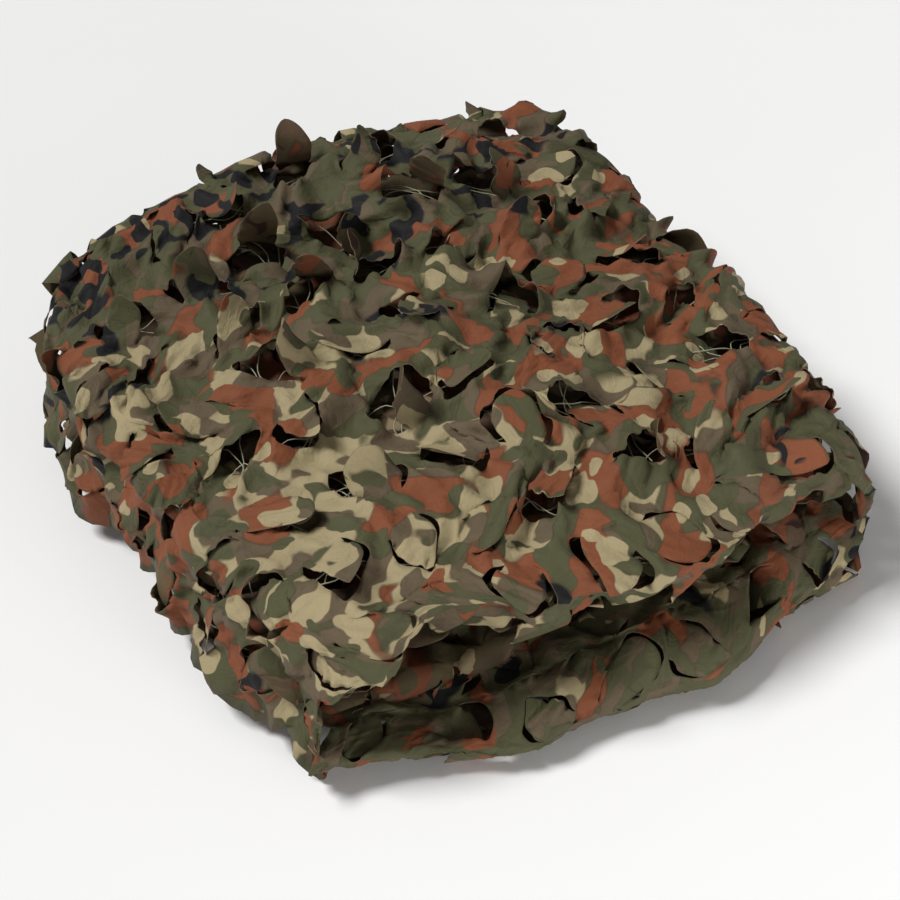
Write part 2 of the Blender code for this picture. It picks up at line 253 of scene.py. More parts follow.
def even_place(row, column):
    """The point of the pack at a row and column of the flat strip, evenly folded."""
    raised = off_foot(row, column)
    inside = clamp(max(TOP_ROW - row, row - DRAPE_END))    # past the top layer
    row, column = wandered(row, column)
    piece = piece_at(min(row, ROWS - 1e-6))
    in_piece = (row - piece["first"]) / piece["cells"]
    y, z = piece["curve"](in_piece)
    across = (column - COLUMNS / 2) * COLUMN
    edge = BODY_WIDTH / 2
    x = max(-edge, min(edge, across))
    beyond = abs(across) - edge
    x *= 1 - (1 - INNER_WIDTH_SHARE) * inside
    if piece["name"] == "lower_over_fold":
        x *= 1 + LOWER_FOLD_SPREAD * math.sin(math.pi * in_piece)
    share = height_share(x, y)
    x, y = bulged(x, y, SIDE_BULGE * raised - FOOT_WAIST * (1 - raised))
    if piece["name"] in ("top_fold", "lower_over_fold"):
        y += (y - piece["at"]) * FOLD_UNEVENNESS * lumps(2 * x, piece["at"])
    if z > FLOOR_EDGE:
        z *= share
    z -= (FLOOR_EDGE - CLOTH_THICKNESS / 2) * (1 - raised)
    if beyond > 0:
        out, down = drape_offset(beyond)
        x += math.copysign(out + (beyond - out) * inside, across)
        if inside < 1:
            z = max(z - down * (1 - inside), FLOOR_CLEARANCE)
    return Vector((x, y, z)) + PACK_SHIFT


# Where the cloth hangs lower or stands in from the even folds
SAGS = (
    # row, column, reach in rows and in columns, move in metres
    (18.2, 2.0, 1.0, 0.8, (0.000, -0.006, -0.008)),   # the lip of the upper fold
    (18.5, 3.5, 1.1, 1.0, (0.000, 0.038, 0.018)),     # the fold stands in beside it
    (18.7, 6.3, 0.9, 2.0, (0.000, 0.004, 0.012)),
    (27.6, 3.2, 1.2, 1.9, (0.000, 0.016, -0.026)),    # the hollow between the folds
    (29.4, 3.6, 1.1, 1.8, (0.000, 0.001, 0.000)),
    (29.2, 6.0, 0.9, 1.2, (0.000, -0.010, 0.000)),
    (18.0, 0.7, 1.2, 1.5, (0.018, 0.012, 0.006)),     # the near corner
    (28.6, 2.0, 1.2, 1.0, (-0.008, 0.010, 0.000)),    # and the lower fold's end by it
    (30.0, 1.9, 1.1, 1.3, (0.008, 0.028, 0.006)),
    (10.0, 0.5, 1.4, 1.6, (0.008, -0.028, -0.004)),   # the left corner
    (11.5, 0.0, 1.1, 1.4, (-0.012, 0.000, 0.000)),
    (13.6, -0.2, 1.0, 1.4, (0.006, 0.000, 0.000)),
    (11.7, 5.2, 0.75, 0.8, (0.000, 0.000, -0.017)),   # the hollow near the back
    (8.2, 5.2, 0.8, 0.9, (0.000, 0.000, -0.014)),     # and the layer under it
    (11.0, 6.5, 0.7, 1.0, (0.000, 0.000, 0.008)),
    (7.0, 5.5, 2.4, 5.0, (0.000, 0.000, 0.013)),      # the layer under the top one
    (6.5, 2.0, 3.0, 1.0, (-0.014, 0.000, 0.000)),     # left ends of the layers inside
    (21.5, 2.0, 2.6, 1.0, (-0.014, 0.000, 0.000)),
    (26.0, 2.0, 2.4, 1.0, (-0.012, 0.000, 0.000)),
)


def place(row, column):
    """The point of the pack at a row and column of the flat strip."""
    point = even_place(row, column)
    for middle_row, middle_column, rows, columns, move in SAGS:
        near = ((row - middle_row) / rows) ** 2 + ((column - middle_column) / columns) ** 2
        if near < 4:
            point += Vector(move) * math.exp(-near ** 1.5)
    return point


def normal_at(row, column):
    """The cloth's outer side: up on the top layer, outwards on folds and drapes."""
    step = 0.05
    along = place(row + step, column) - place(row - step, column)
    across = place(row, column + step) - place(row, column - step)
    return along.cross(across).normalized()


# ---------------------------------------------------------------- cuts and leaves
LEAF_LENGTH = 0.043
FULL_ROW = 0.053           # rows shorter than this have smaller leaves
LEAF_FORMS = {
    # root half width, belly half width, how blunt the end is, how square it is
    "round": (0.0115, 0.0215, 4.5, 0.5),
    "pointed": (0.0140, 0.0225, 1.7, 0.65),
}
# Leaves of the top layer. Those at (14, 9) and (17, 5) lie as OWN_STYLES says, and are
# here because a leaf in this table takes fewer random draws.
LEAVES = (
    # row, column, direction (0 to the front, 90 to +X), lift, curl per metre, form
    (10, 6, 150, 55, 10, "round"),
    (10, 7, 100, 10, 10, "round"),
    (11, 3, 150, 55, 12, "round"),
    (11, 5, 200, 65, 14, "round"),
    (11, 6, -70, 50, 12, "round"),
    (11, 7, 190, 45, 8, "round"),
    (12, 3, 180, 40, 12, "round"),
    (12, 4, -30, 30, 6, "round"),
    (12, 7, 160, 50, 14, "round"),
    (13, 2, 200, 15, 8, "round"),
    (13, 3, 215, 55, 14, "round"),
    (13, 5, -60, 15, 6, "round"),
    (13, 7, 110, 12, 6, "round"),
    (13, 8, 0, 32, 8, "pointed"),
    (14, 4, 225, 55, 14, "round"),
    (14, 5, 60, 9, 4, "round"),
    (14, 7, 60, 20, 8, "round"),
    (14, 9, 90, 35, 12, "round"),
    (15, 3, 180, 45, 15, "round"),
    (15, 4, -75, 14, 12, "round"),
    (16, 2, 10, 18, 8, "pointed"),
    (16, 4, 100, 12, 8, "pointed"),
    (16, 5, 5, 25, 2, "pointed"),
    (16, 8, 60, 25, 5, "pointed"),
    (17, 5, 100, 45, 12, "round"),
    (17, 8, 40, 25, 5, "round"),
)
KNOWN_LEAVES = {leaf[:2]: leaf[2:] for leaf in LEAVES}
ROWS_UNDER_FOLDS = (TOP_END + 1, LOWER_FOLD + 1)
SEED = 11

FINE = dict(edge=12, loops=4, hinge=10, stations=19,     # outer cells
            rim=(0.003, 0.013))
COARSE = dict(edge=6, loops=2, hinge=4, stations=10,     # cells inside the pack
              rim=(0.002, 0.008))
KEY = 24                   # border points per row, at most

LEAF_GROWTH = (0.86, 1.12)  # a leaf's length as a share of its hole's
LEAF_SLIMNESS = (0.76, 0.96)
SHUT = 0.975               # the same where the sheet lies calm
SLIMMER_STANDING = 0.10    # how much slimmer a leaf is that stands up
SLIMMER_HANGING = 0.07     # and one that hangs on a drape
LEAF_BREADTH = (0.78, 1.06)
LEAF_SKEW = 0.010          # how far a leaf is cut aside
LEAF_LEAN = 0.0050         # how far a leaf stands off the middle of its hole
LEAF_TWIST = 0.9           # turn of a standing leaf's tip against its root, in radians
LEAF_CUP = (14.0, 62.0)    # rolled across, per metre, where a leaf stands up
FLAT_CUP = 5.0             # the most of it where a leaf lies flat
LEAF_FLUTTER = 0.0060
CUT_SHIFT = 0.05           # how far a cut lies off the middle of its cell, in cells
TAUTNESS = 0.85            # how much less slack the sheet has where it lies calm
LIES_FLAT = 0.12           # lift under which a leaf follows the sheet, in radians
STANDS_OFF = 0.34          # lift over which it doesn't
RISES_OVER = 0.45          # span of lift past that over which it comes to stand up
LOWEST = 0.0012            # of the thin cloth's outer side, above the floor
WEB_HOLD = 0.004           # pull back to the even shape in one settling step
KNOT_HOLD = 0.25
LEAF_HOLD = 0.006
WEB_SPARE = (0.07, 0.12)   # at the border of a cell, and round its cut
LEAF_SPARE = (0.00, 0.08)  # along the middle of a leaf, and along its edges
DIAGONAL_FIRMNESS = 0.35   # how firmly the cloth keeps its lengths, 1 along a thread
BEND_FIRMNESS = 0.28
SETTLE_STEPS = 220
SETTLE_HASTE = 1.7         # more than 1 goes past the evened length, and settles sooner
SETTLE_REACH = 0.009       # how far settling may move a point of the cloth
GRAVITY_STEP = 0.00001


class Sheet:
    """Points, faces and flat-strip places of one sheet of cloth."""

    def __init__(self, name, relief):
        self.name = name
        self.relief = relief
        self.points = []
        self.flat = []
        self.spare = []        # how much longer the cloth is here than its even shape
        self.held = []         # how firmly this point keeps its place
        self.faces = []
        self.cut_places = []   # a leaf's faces, flat as they were cut
        self.known = {}

    def add(self, point, row, column, spare, held=WEB_HOLD):
        self.points.append(Vector((point.x, point.y, max(point.z, LOWEST))))
        self.flat.append((row, column))
        self.spare.append(spare)
        self.held.append(held)
        return len(self.points) - 1

    def face(self, corners, cut_place=None):
        self.faces.append(corners)
        self.cut_places.append(cut_place)

    def web_faces(self, outer, inner, flip):
        total = len(outer)
        for number in range(total):
            after = (number + 1) % total
            corners = (outer[number], outer[after], inner[after], inner[number])
            self.face(corners if flip else corners[::-1])

    def leaf_faces(self, low, high, low_cut, high_cut):
        for step in range(len(low) - 1):
            ahead = step + 1 if len(high) > 1 else 0
            corners = [low[step], low[step + 1], high[ahead]]
            places = [low_cut[step], low_cut[step + 1], high_cut[ahead]]
            if ahead:
                corners.append(high[step])
                places.append(high_cut[step])
            self.face(tuple(corners[::-1]), places[::-1])

    def shared(self, row, column, make):
        key = (round(row * KEY), round(column * KEY))
        if key not in self.known:
            self.known[key] = make()
        return self.known[key]

    def object(self, materials, thickness):
        mesh = bpy.data.meshes.new(self.name)
        mesh.from_pydata(self.points, [], self.faces)
        for material in materials:
            mesh.materials.append(material)
        mesh.polygons.foreach_set("use_smooth", [True] * len(mesh.polygons))
        strip = [(column * COLUMN, strip_length(row)) for row, column in self.flat]
        uv = mesh.uv_layers.new(name="strip")
        for loop in mesh.loops:
            uv.data[loop.index].uv = strip[loop.vertex_index]
        for zone, share_of in ZONE_SHARES.items():
            layer = mesh.attributes.new(zone, "FLOAT", "POINT")
            layer.data.foreach_set("value", [share_of(r, c) for r, c in self.flat])
        made = bpy.data.objects.new(self.name, mesh)
        bpy.context.scene.collection.objects.link(made)
        solid = made.modifiers.new("thickness", "SOLIDIFY")
        solid.thickness = thickness
        solid.offset = -1.0
        solid.material_offset = 1
        solid.material_offset_rim = 2
        return made


def links_of(sheet):
    """Pairs of points that the cloth keeps apart: (first, second, length, firmness)."""
    pairs = {}
    along_edges = {}

    def link(i, j, rest, firmness):
        key = (i, j) if i < j else (j, i)
        if key not in pairs:
            pairs[key] = (rest * (1 + (sheet.spare[i] + sheet.spare[j]) / 2), firmness)

    for corners, cut_place in zip(sheet.faces, sheet.cut_places):
        at = cut_place or [sheet.points[number] for number in corners]
        total = len(corners)
        for step in range(total):
            before, after, beyond = ((step + way) % total for way in (-1, 1, 2))
            one, other = corners[step], corners[after]
            link(one, other, (at[step] - at[after]).length, 1.0)
            ends = {one: (corners[before], (at[step] - at[before]).length),
                    other: (corners[beyond], (at[after] - at[beyond]).length)}
            along_edges.setdefault(tuple(sorted((one, other))), []).append(ends)
        if total == 4:
            for a, b in ((0, 2), (1, 3)):
                link(corners[a], corners[b], (at[a] - at[b]).length, DIAGONAL_FIRMNESS)
    for sides in along_edges.values():
        if len(sides) != 2:
            continue
        for middle, (one, length_one) in sides[0].items():
            other, length_other = sides[1][middle]
            if one != other:
                link(one, other, length_one + length_other, BEND_FIRMNESS)
    return pairs


def settle(sheet):
    """Lets the spare length of the cloth buckle between its knots, under its weight."""
    pairs = links_of(sheet)
    first, second = np.array(list(pairs)).T.copy()
    rest, firm = np.array(list(pairs.values())).T.copy()
    home = np.array(sheet.points)
    held = np.array(sheet.held)[:, None]
    size = len(home)
    weight = np.bincount(first, firm, size) + np.bincount(second, firm, size)
    weight = np.maximum(weight, 1e-6)[:, None]
    at = home.copy()
    for step in range(SETTLE_STEPS):
        gap = at[second] - at[first]
        length = np.maximum(np.linalg.norm(gap, axis=1), 1e-7)
        push = (gap * (firm * (length - rest) / length)[:, None]) * 0.5
        move = np.empty_like(at)
        for axis in range(3):
            move[:, axis] = (np.bincount(first, push[:, axis], size)
                             - np.bincount(second, push[:, axis], size))
        at += SETTLE_HASTE * move / weight
        at[:, 2] -= GRAVITY_STEP
        at += (home - at) * held
        away = at - home
        reach = np.maximum(np.linalg.norm(away, axis=1, keepdims=True), 1e-9)
        at = home + away * np.minimum(1.0, SETTLE_REACH / reach)
        at[:, 2] = np.maximum(at[:, 2], LOWEST)
    sheet.points = [Vector(point) for point in at]


# How the printed colours are shared out along the strip: middles of the patches where
# one of them is more common, in rows and columns. A few of them also make the print
# darker where the pack lies in shade, which is painted shade.
ZONES = (
    # row, column, radius in cells, sand, rust, black
    (14.2, 3.5, 2.3, 1.25, -0.55, -0.60),
    (16.6, 2.6, 1.8, 1.25, -0.45, -0.60),
    (17.9, 2.8, 1.2, 0.40, -0.80, -0.40),
    (12.6, 3.2, 1.3, 0.70, 0.00, -0.30),
    (13.4, 8.1, 2.0, -0.90, 1.45, -0.40),
    (16.2, 6.6, 1.9, 0.35, 0.80, -0.60),
    (11.2, 6.8, 1.6, -1.00, -0.60, 0.80),
    # Black print at the back left, partly the print and partly painted shade: this patch
    # and the one at row 9.5 are made blacker to darken the back of the pack, which lies in
    # shade.
    (11.0, 3.4, 1.5, -0.75, 0.00, 0.85),
    (10.3, 0.8, 1.6, -0.80, 0.00, 0.90),
    # Partly painted shade, as the patch at row 11.0.
    (9.5, 3.5, 2.0, -0.80, 0.20, 0.90),
    (14.4, 1.1, 2.0, -1.00, 0.85, -0.20),
    (12.3, 5.5, 1.4, -0.80, -0.70, 0.75),
    (17.4, 8.8, 1.5, -0.70, 0.20, 1.00),
    (15.2, 4.4, 1.1, 0.55, -0.40, -0.50),
    (15.9, 5.1, 0.9, 0.00, 0.80, -0.30),
    (15.9, 7.0, 1.1, 0.60, -0.10, -0.30),
    # The lower front fold's print, kept to olive and taupe: partly the print, and partly
    # painted shade that keeps the fold dark where it lies in shade.
    (28.8, 5.0, 3.4, -0.90, -0.45, -0.10),
    # Painted shade: black print put in the hollow between the folds, where the cloth lies
    # in shade.
    (27.2, 3.1, 1.3, -0.60, -0.60, 0.80),
    (18.9, 6.4, 0.7, 0.90, -0.60, -0.60),
    (13.7, 5.4, 1.1, -0.30, -0.60, 0.35),
)


def zone_share(channel):
    def share(row, column):
        total = 0.0
        for middle_row, middle_column, radius, *shares in ZONES:
            near = ((row - middle_row) ** 2 + (column - middle_column) ** 2) / radius ** 2
            total += shares[channel] * math.exp(-near)
        return total
    return share


ZONE_SHARES = {name: zone_share(channel) for channel, name
               in enumerate(("sand_share", "rust_share", "black_share"))}
PUCKERS = (0.0122, 1.3, 0.058)           # height, layer of the noise, pitch
RUMPLES = (0.0060, 5.9, 0.027)
INNER_PUCKERS = (0.0035, 2.3, 0.055)
INNER_RUMPLES = (0.002, 6.1, 0.03)
RIDGE = 0.0034                           # height of the sharp ridges
RIDGE_PITCH = 0.034
BAND = 0.007                             # height of the folds along the back edge
BAND_PITCH = 0.020
DRAWN = 0.0090                           # height of long folds drawn on the slant
DRAWN_PITCH = (0.052, 0.17)


def waves(a, b, wave):
    height, layer, pitch = wave
    return height * smooth_noise(a, b, layer, pitch)


def outer_relief(row, column):
    """How far the webs of the outer cloth stand off its even shape: puckers, creases."""
    a = strip_length(row)
    b = column * COLUMN
    slant = a * 0.8 + b * 0.6
    ridge = 1 - 2.2 * abs(smooth_noise(slant, b - 0.4 * a, 8.2, RIDGE_PITCH))
    along_fold = math.exp(-((row - TOP_ROW) / 1.3) ** 2)
    band = along_fold * BAND * smooth_noise(a, b * 0.22, 3.1, BAND_PITCH)
    drawn = DRAWN * noise_at((a + b) / DRAWN_PITCH[0], (a - b) / DRAWN_PITCH[1], 6.6)
    return (waves(a, b, PUCKERS) + waves(a, b, RUMPLES) + RIDGE * max(0.0, ridge) ** 3
            + band + drawn)


def inner_relief(row, column):
    a = strip_length(row)
    b = column * COLUMN
    return waves(a, b, INNER_PUCKERS) + waves(a, b, INNER_RUMPLES)


def hem_reach(row, column):
    """Leafy hem: how far a point of a side edge stands out, in columns."""
    wave = abs(math.sin(math.pi * (row + 0.25 * smooth_noise(row, 0.0, 4.4, 1.7))))
    fray = 0.25 * smooth_noise(row, column, 7.7, 0.22)
    return HEM_POINT / COLUMN * (wave ** 0.7 + fray)


def border_point(sheet, row, column, lowest, highest):
    reach = 0.0
    if column in (lowest, highest):
        reach = math.copysign(hem_reach(row, column), column - COLUMNS / 2)
    point = place(row, column + reach)
    point += normal_at(row, column) * sheet.relief(row, column)
    knot = abs(row - round(row)) < 0.01 and abs(column - round(column)) < 0.01
    return sheet.add(point, row, column + reach, WEB_SPARE[0],
                     KNOT_HOLD if knot and not reach else WEB_HOLD)


def on_drape(column):
    return column < DRAPE_COLUMNS or column >= COLUMNS - DRAPE_COLUMNS


def beside_bend(column):
    return column in (DRAPE_COLUMNS - 1, COLUMNS - DRAPE_COLUMNS)


def outward(column):
    return -math.pi / 2 if column < COLUMNS / 2 else math.pi / 2


def leaf_style(row, column, rng):
    """Direction in the sheet, lift at the root, curl and form of an outer leaf."""
    direction = rng.uniform(-math.pi, math.pi)
    lift = rng.uniform(0.15, 0.70)
    curl = rng.uniform(4.0, 20.0)
    form = rng.choice(("round", "pointed"))
    if (row, column) in KNOWN_LEAVES:
        degrees, lift_degrees, curl, form = KNOWN_LEAVES[row, column]
        direction = math.radians(degrees)
        lift = math.radians(lift_degrees)
    elif on_drape(column):
        direction = outward(column) + rng.uniform(-0.6, 0.6)
        lift = rng.uniform(0.2, 0.5)
        curl = rng.uniform(-24.0, -12.0) if beside_bend(column) else rng.uniform(-8.0, 4.0)
    elif row in ROWS_UNDER_FOLDS:
        direction = math.pi + rng.uniform(-0.5, 0.5)
        lift = rng.uniform(0.15, 0.4)
        curl = rng.uniform(-4.0, 2.0)
    elif row >= TOP_END:
        direction = rng.uniform(-1.2, 1.2)
        lift = rng.uniform(0.10, 0.50)
        curl = rng.uniform(-8.0, 6.0)
    rng.random(), rng.random()    # keeps the leaves after this one as they are
    return direction, lift, curl, form


# Where the leaves lie in the sheet and don't stand up
CALM = (
    # row, column, reach in rows, reach in columns, how calm
    (10.0, 2.0, 0.9, 3.5, 0.9),
    (16.5, 3.5, 2.2, 2.0, 0.75),
    (14.0, 3.0, 1.6, 1.6, 0.5),
    (18.0, 5.0, 1.0, 6.0, 0.8),
    (29.0, 5.5, 1.8, 8.0, 1.0),
    (17.5, 0.5, 1.3, 1.6, 1.0),
)
# Leaves that lie in their own way
OWN_STYLES = {
    # row and column: direction, lift, curl, form
    (10, 0): (-1.63, 0.05, 0.0, "round"),
    (10, 1): (-2.06, 0.04, 0.0, "round"),
    (10, 5): (-0.20, 1.25, 30.0, "round"),
    (10, 9): (2.90, 0.10, 3.0, "round"),
    (10, 10): (0.60, 0.10, 0.0, "round"),
    (11, 0): (-1.13, 0.22, 2.0, "round"),
    (11, 4): (-0.40, 1.05, 18.0, "round"),
    (11, 9): (1.27, 0.12, 8.0, "round"),
    (12, 0): (-2.15, 0.22, 4.0, "round"),
    (12, 9): (2.00, 0.12, 6.0, "round"),
    (14, 9): (2.90, 0.16, 7.0, "round"),
    (15, 9): (1.20, 0.20, -6.0, "round"),
    (16, 9): (0.30, 0.15, 2.0, "round"),
    (16, 10): (1.30, 0.15, 2.0, "round"),
    (17, 5): (-0.80, 0.22, 3.0, "pointed"),
    (18, 3): (0.15, 0.30, -2.0, "pointed"),
    (18, 4): (-0.25, 0.24, -2.0, "pointed"),
    (18, 6): (-0.40, 0.32, -2.0, "pointed"),
    (28, 3): (0.90, -0.45, -8.0, "pointed"),
    (28, 4): (-2.50, 0.02, 0.0, "pointed"),
    (28, 5): (2.90, 0.03, 0.0, "round"),
    (28, 6): (1.13, 0.02, 0.0, "pointed"),
    (28, 7): (-1.16, -0.50, -10.0, "pointed"),
    (28, 8): (0.23, -0.45, -8.0, "pointed"),
    (29, 2): (3.00, 0.03, 0.0, "round"),
    (29, 3): (-0.85, 0.20, -2.0, "pointed"),
    (29, 5): (0.85, 0.18, -2.0, "pointed"),
    (29, 7): (3.34, -0.45, -10.0, "round"),
}


def calmness(row, column):
    most = 0.0
    for middle_row, middle_column, rows, columns, calm in CALM:
        near = ((row + 0.5 - middle_row) / rows) ** 2
        near += ((column + 0.5 - middle_column) / columns) ** 2
        most = max(most, calm * math.exp(-near ** 2))
    return most


HIGH_LIFT = 0.35           # a known leaf lifted more than this rolls back instead,
ROLL_BACK = 26.0           # by this much curl for each radian
MOSTLY_CALM = 0.6          # where this calm, few leaves stir
DROOPED = 0.3              # share of those leaves that droop
DROPPED = 0.28             # elsewhere, share of the leaves that hang into their holes,
ROLLED = 0.50              # with those that are rolled back,
SUNK = 0.80                # and with those that lie in their holes
BEND_LIFT = 0.30           # most lift beside the bend into a drape


def laid(row, column, style, rng):
    """The style of a leaf as it lies: flat in calm places, rolled back in others."""
    direction, lift, curl, form = style
    roll = rng.random()
    calm = calmness(row, column)
    if (row, column) in OWN_STYLES:
        return OWN_STYLES[row, column]
    if (row, column) in KNOWN_LEAVES:
        high = max(0.0, lift - HIGH_LIFT)
        lift = (lift - 0.5 * high) * (1 - 0.5 * calm)
        return direction, lift, curl + ROLL_BACK * high, form
    lift *= 1 - calm
    curl *= 1 - calm
    if calm >= MOSTLY_CALM:
        lift, curl = (-0.10, -3.0) if roll < DROOPED else (max(lift, 0.03), curl)
    elif roll < DROPPED:
        lift, curl = -0.30 * rng.random() - 0.08, -6.0
    elif roll < ROLLED:
        lift, curl = lift + 0.25, curl + 18.0
    elif roll < SUNK:
        lift, curl = 0.35 * lift, 0.5 * curl
    if beside_bend(column):
        lift = min(lift, BEND_LIFT)
    return direction, lift, curl, form


def curled(along, lift, curl, forward, up, steps=6):
    """Offset from the root of a point on a leaf that lifts and curls steadily."""
    ahead = rise = 0.0
    for step in range(steps):
        angle = lift + curl * along * (step + 0.5) / steps
        ahead += math.cos(angle) * along / steps
        rise += math.sin(angle) * along / steps
    return forward * ahead + up * rise


EDGE_WAVE = 0.16           # how much the two edges of a leaf waver, as a share


def outline_of(form, stations, size, skew, phase, breadth):
    """Left and right edge of a leaf as (along, aside), from its root to its tip."""
    root, belly, blunt, square = LEAF_FORMS[form]
    length = LEAF_LENGTH * size
    left, right = [], []
    for station in range(1, stations + 1):
        share = math.sin(math.pi / 2 * station / stations)
        share = 0.45 * share + 0.55 * station / stations    # closer towards the tip
        half = root + (belly - root) * math.sin(math.pi * share ** 0.85)
        half *= (1 - share ** blunt) ** square if share < 1 else 0.0
        middle = skew * math.sin(math.pi * 0.8 * share) * size
        for side, edge in ((-1, left), (1, right)):
            wave = breadth + EDGE_WAVE * noise_at(3.1 * share, side * 2.0, phase)
            edge.append((share * length, middle + side * half * size * wave))
    return left, right


HEEL_DEPTH = 0.0045        # how far the hinge of a leaf bows back into the web
NUDGE = 0.004              # a step along the leaf that gives its direction


def cell_border(sheet, row, column, span, edge, columns):
    """Once around a cell from its lowest row and column: points, and their places."""
    around = []
    for side in range(4):
        for step in range(edge):
            t = step / edge
            at = ((0, t), (t, 1), (1, 1 - t), (1 - t, 0))[side]
            around.append((row + span * at[0], column + at[1]))
    border = [sheet.shared(r, c, lambda: border_point(sheet, r, c, *columns))
              for r, c in around]
    return border, around


def match_by_angle(around, hole, centre, per_row):
    """Order of the border's points that lies best along the cut's, and its sense."""
    def angle_of(r, c):
        return math.atan2((c - centre[1]) * COLUMN, (r - centre[0]) * per_row)

    def turn(a):
        return (a + math.pi) % (2 * math.pi) - math.pi

    total = len(around)
    trial = [(sum(abs(turn(angle_of(*around[(sense * k + start) % total])
                           - angle_of(*hole[k]))) for k in range(0, total, 3)),
              start, sense) for start in range(total) for sense in (1, -1)]
    _, start, sense = min(trial)
    return [(sense * k + start) % total for k in range(total)], sense


def add_cell(sheet, row, column, span, detail, style, rng, columns,
             leaf_growth=(1.0, 1.0)):
    """A cell of the sheet: the web around the cut, and the leaf that hangs from it."""
    direction, lift, curl, form = style
    centre = (row + span / 2, column + 0.5)
    row_length = (place(row + span, centre[1]) - place(row, centre[1])).length
    per_row = row_length / span
    size = min(1.0, row_length / FULL_ROW)
    shift = (rng.uniform(-CUT_SHIFT, CUT_SHIFT), rng.uniform(-CUT_SHIFT, CUT_SHIFT))
    phase = rng.uniform(0.0, 50.0)
    skew = rng.uniform(-LEAF_SKEW, LEAF_SKEW)
    breadth = rng.uniform(*LEAF_BREADTH)
    stands = clamp((abs(lift) - LIES_FLAT) / RISES_OVER)
    hangs = on_drape(column)
    twist = rng.uniform(-LEAF_TWIST, LEAF_TWIST)
    twist *= 1.3 * max(stands, 0.6) if hangs else stands
    cup = rng.choice((-1, 1, 1)) * rng.uniform(*LEAF_CUP) * stands
    cup += rng.uniform(-FLAT_CUP, FLAT_CUP)
    rim_lift = rng.uniform(*detail["rim"])
    grown = rng.uniform(*leaf_growth)
    slim = rng.uniform(*LEAF_SLIMNESS) - SLIMMER_STANDING * stands
    slim -= SLIMMER_HANGING if hangs else 0.0
    lean = rng.uniform(-LEAF_LEAN, LEAF_LEAN)
    calm = calmness(row, column)
    slack = 1 - TAUTNESS * calm
    slim += (SHUT - slim) * calm ** 2
    lean *= slack
    grown += (1 - grown) * 0.7 * calm ** 2
    length = LEAF_LENGTH * size
    follow = clamp((STANDS_OFF - abs(lift)) / (STANDS_OFF - LIES_FLAT))
    cosine, sine = math.cos(direction), math.sin(direction)

    def spot(along, aside):
        a = along - length / 2
        rows = (a * cosine - aside * sine) / per_row
        cross = (a * sine + aside * cosine) / COLUMN
        return centre[0] + shift[0] + rows, centre[1] + shift[1] + cross

    # the cut's outline: along the hinge, up the right side to the tip, down the left
    root = LEAF_FORMS[form][0] * size
    hinge = detail["hinge"]
    stations = detail["stations"]
    left, right = outline_of(form, stations, size, skew, phase, breadth)
    heel = [(-HEEL_DEPTH * size * (1 - (2 * step / hinge - 1) ** 2),
             -root + 2 * root * step / hinge) for step in range(hinge + 1)]
    hole = [spot(*point) for point in heel + right + left[-2::-1]]

    # the web, in loops from the border to the cut
    border, around = cell_border(sheet, row, column, span, detail["edge"], columns)
    order, sense = match_by_angle(around, hole, centre, per_row)
    total = len(order)
    rings = [[border[number] for number in order]]
    for loop in range(1, detail["loops"] + 1):
        share = loop / detail["loops"]
        share = share * (1.35 - 0.35 * share)
        ring = []
        for number, (cut_r, cut_c) in enumerate(hole):
            edge_r, edge_c = around[order[number]]
            r = edge_r + (cut_r - edge_r) * share
            c = edge_c + (cut_c - edge_c) * share
            free = clamp(min(number - hinge, total - number) / (total / 6))
            turned = 2 * math.pi * number / total
            flare = rim_lift * (0.55 + 1.3 * noise_at(
                math.cos(turned) * 1.2, phase, math.sin(turned) * 1.2))
            rise = sheet.relief(r, c) + flare * free * share ** 2 * size * slack
            point = place(r, c) + normal_at(r, c) * rise
            spare = WEB_SPARE[0] + (WEB_SPARE[1] - WEB_SPARE[0]) * share ** 2
            ring.append(sheet.add(point, r, c, spare * slack))
        rings.append(ring)
    for outer, inner in zip(rings, rings[1:]):
        sheet.web_faces(outer, inner, sense < 0)

    # the leaf
    origin_spot = spot(0.0, 0.0)
    origin = place(*origin_spot)
    up = normal_at(*origin_spot)
    forward = (place(*spot(NUDGE, 0.0)) - origin).normalized()
    forward = (forward - up * forward.dot(up)).normalized()
    rise_at_root = sheet.relief(*origin_spot)
    rows = [rings[-1][:hinge + 1]]
    cut = [[Vector(point) for point in heel]]
    for station in range(stations):
        (along, low), (_, high) = left[station], right[station]
        share = along / length
        wider = 1 + (slim - 1) * min(1.0, 3 * share)
        aside_of_root = lean * min(1.0, 2 * share)
        along = along * grown
        low, high = low * wider + aside_of_root, high * wider + aside_of_root
        offset = curled(along, lift, curl, forward, up)
        heading = lift + curl * along
        out = up * math.cos(heading) - forward * math.sin(heading)
        rolled = cup * min(1.0, 2.2 * share)
        turned = twist * share
        count = 0 if station == stations - 1 else hinge
        row_points = []
        cut_row = []
        for step in range(count + 1):
            aside = low + (high - low) * step / hinge if count else (low + high) / 2
            half = max(root, (high - low) / 2)
            ratio = (aside - (low + high) / 2) / half
            flutter = LEAF_FLUTTER * share * noise_at(aside / 0.026, along / 0.03, phase)
            across, bend = aside, 0.0
            if abs(rolled) > 1e-3:
                across = math.sin(rolled * aside) / rolled
                bend = (1 - math.cos(rolled * aside)) / rolled
            point = place(*spot(0.0, across * math.cos(turned))) + offset
            point += out * (bend + flutter + across * math.sin(turned))
            point += up * rise_at_root
            if follow:
                under = spot(along, aside)
                climb = math.tan(lift) * along + curl * along ** 2 / 2
                rise = sheet.relief(*under) + climb + bend + flutter
                point = point.lerp(place(*under) + normal_at(*under) * rise, follow)
            point.z = max(point.z, FLOOR_CLEARANCE)
            spare = LEAF_SPARE[0] + (LEAF_SPARE[1] - LEAF_SPARE[0]) * abs(ratio) ** 3
            row_points.append(sheet.add(point, *spot(along, aside), spare, LEAF_HOLD))
            cut_row.append(Vector((along, aside)))
        rows.append(row_points)
        cut.append(cut_row)
    for strips in zip(rows, rows[1:], cut, cut[1:]):
        sheet.leaf_faces(*strips)


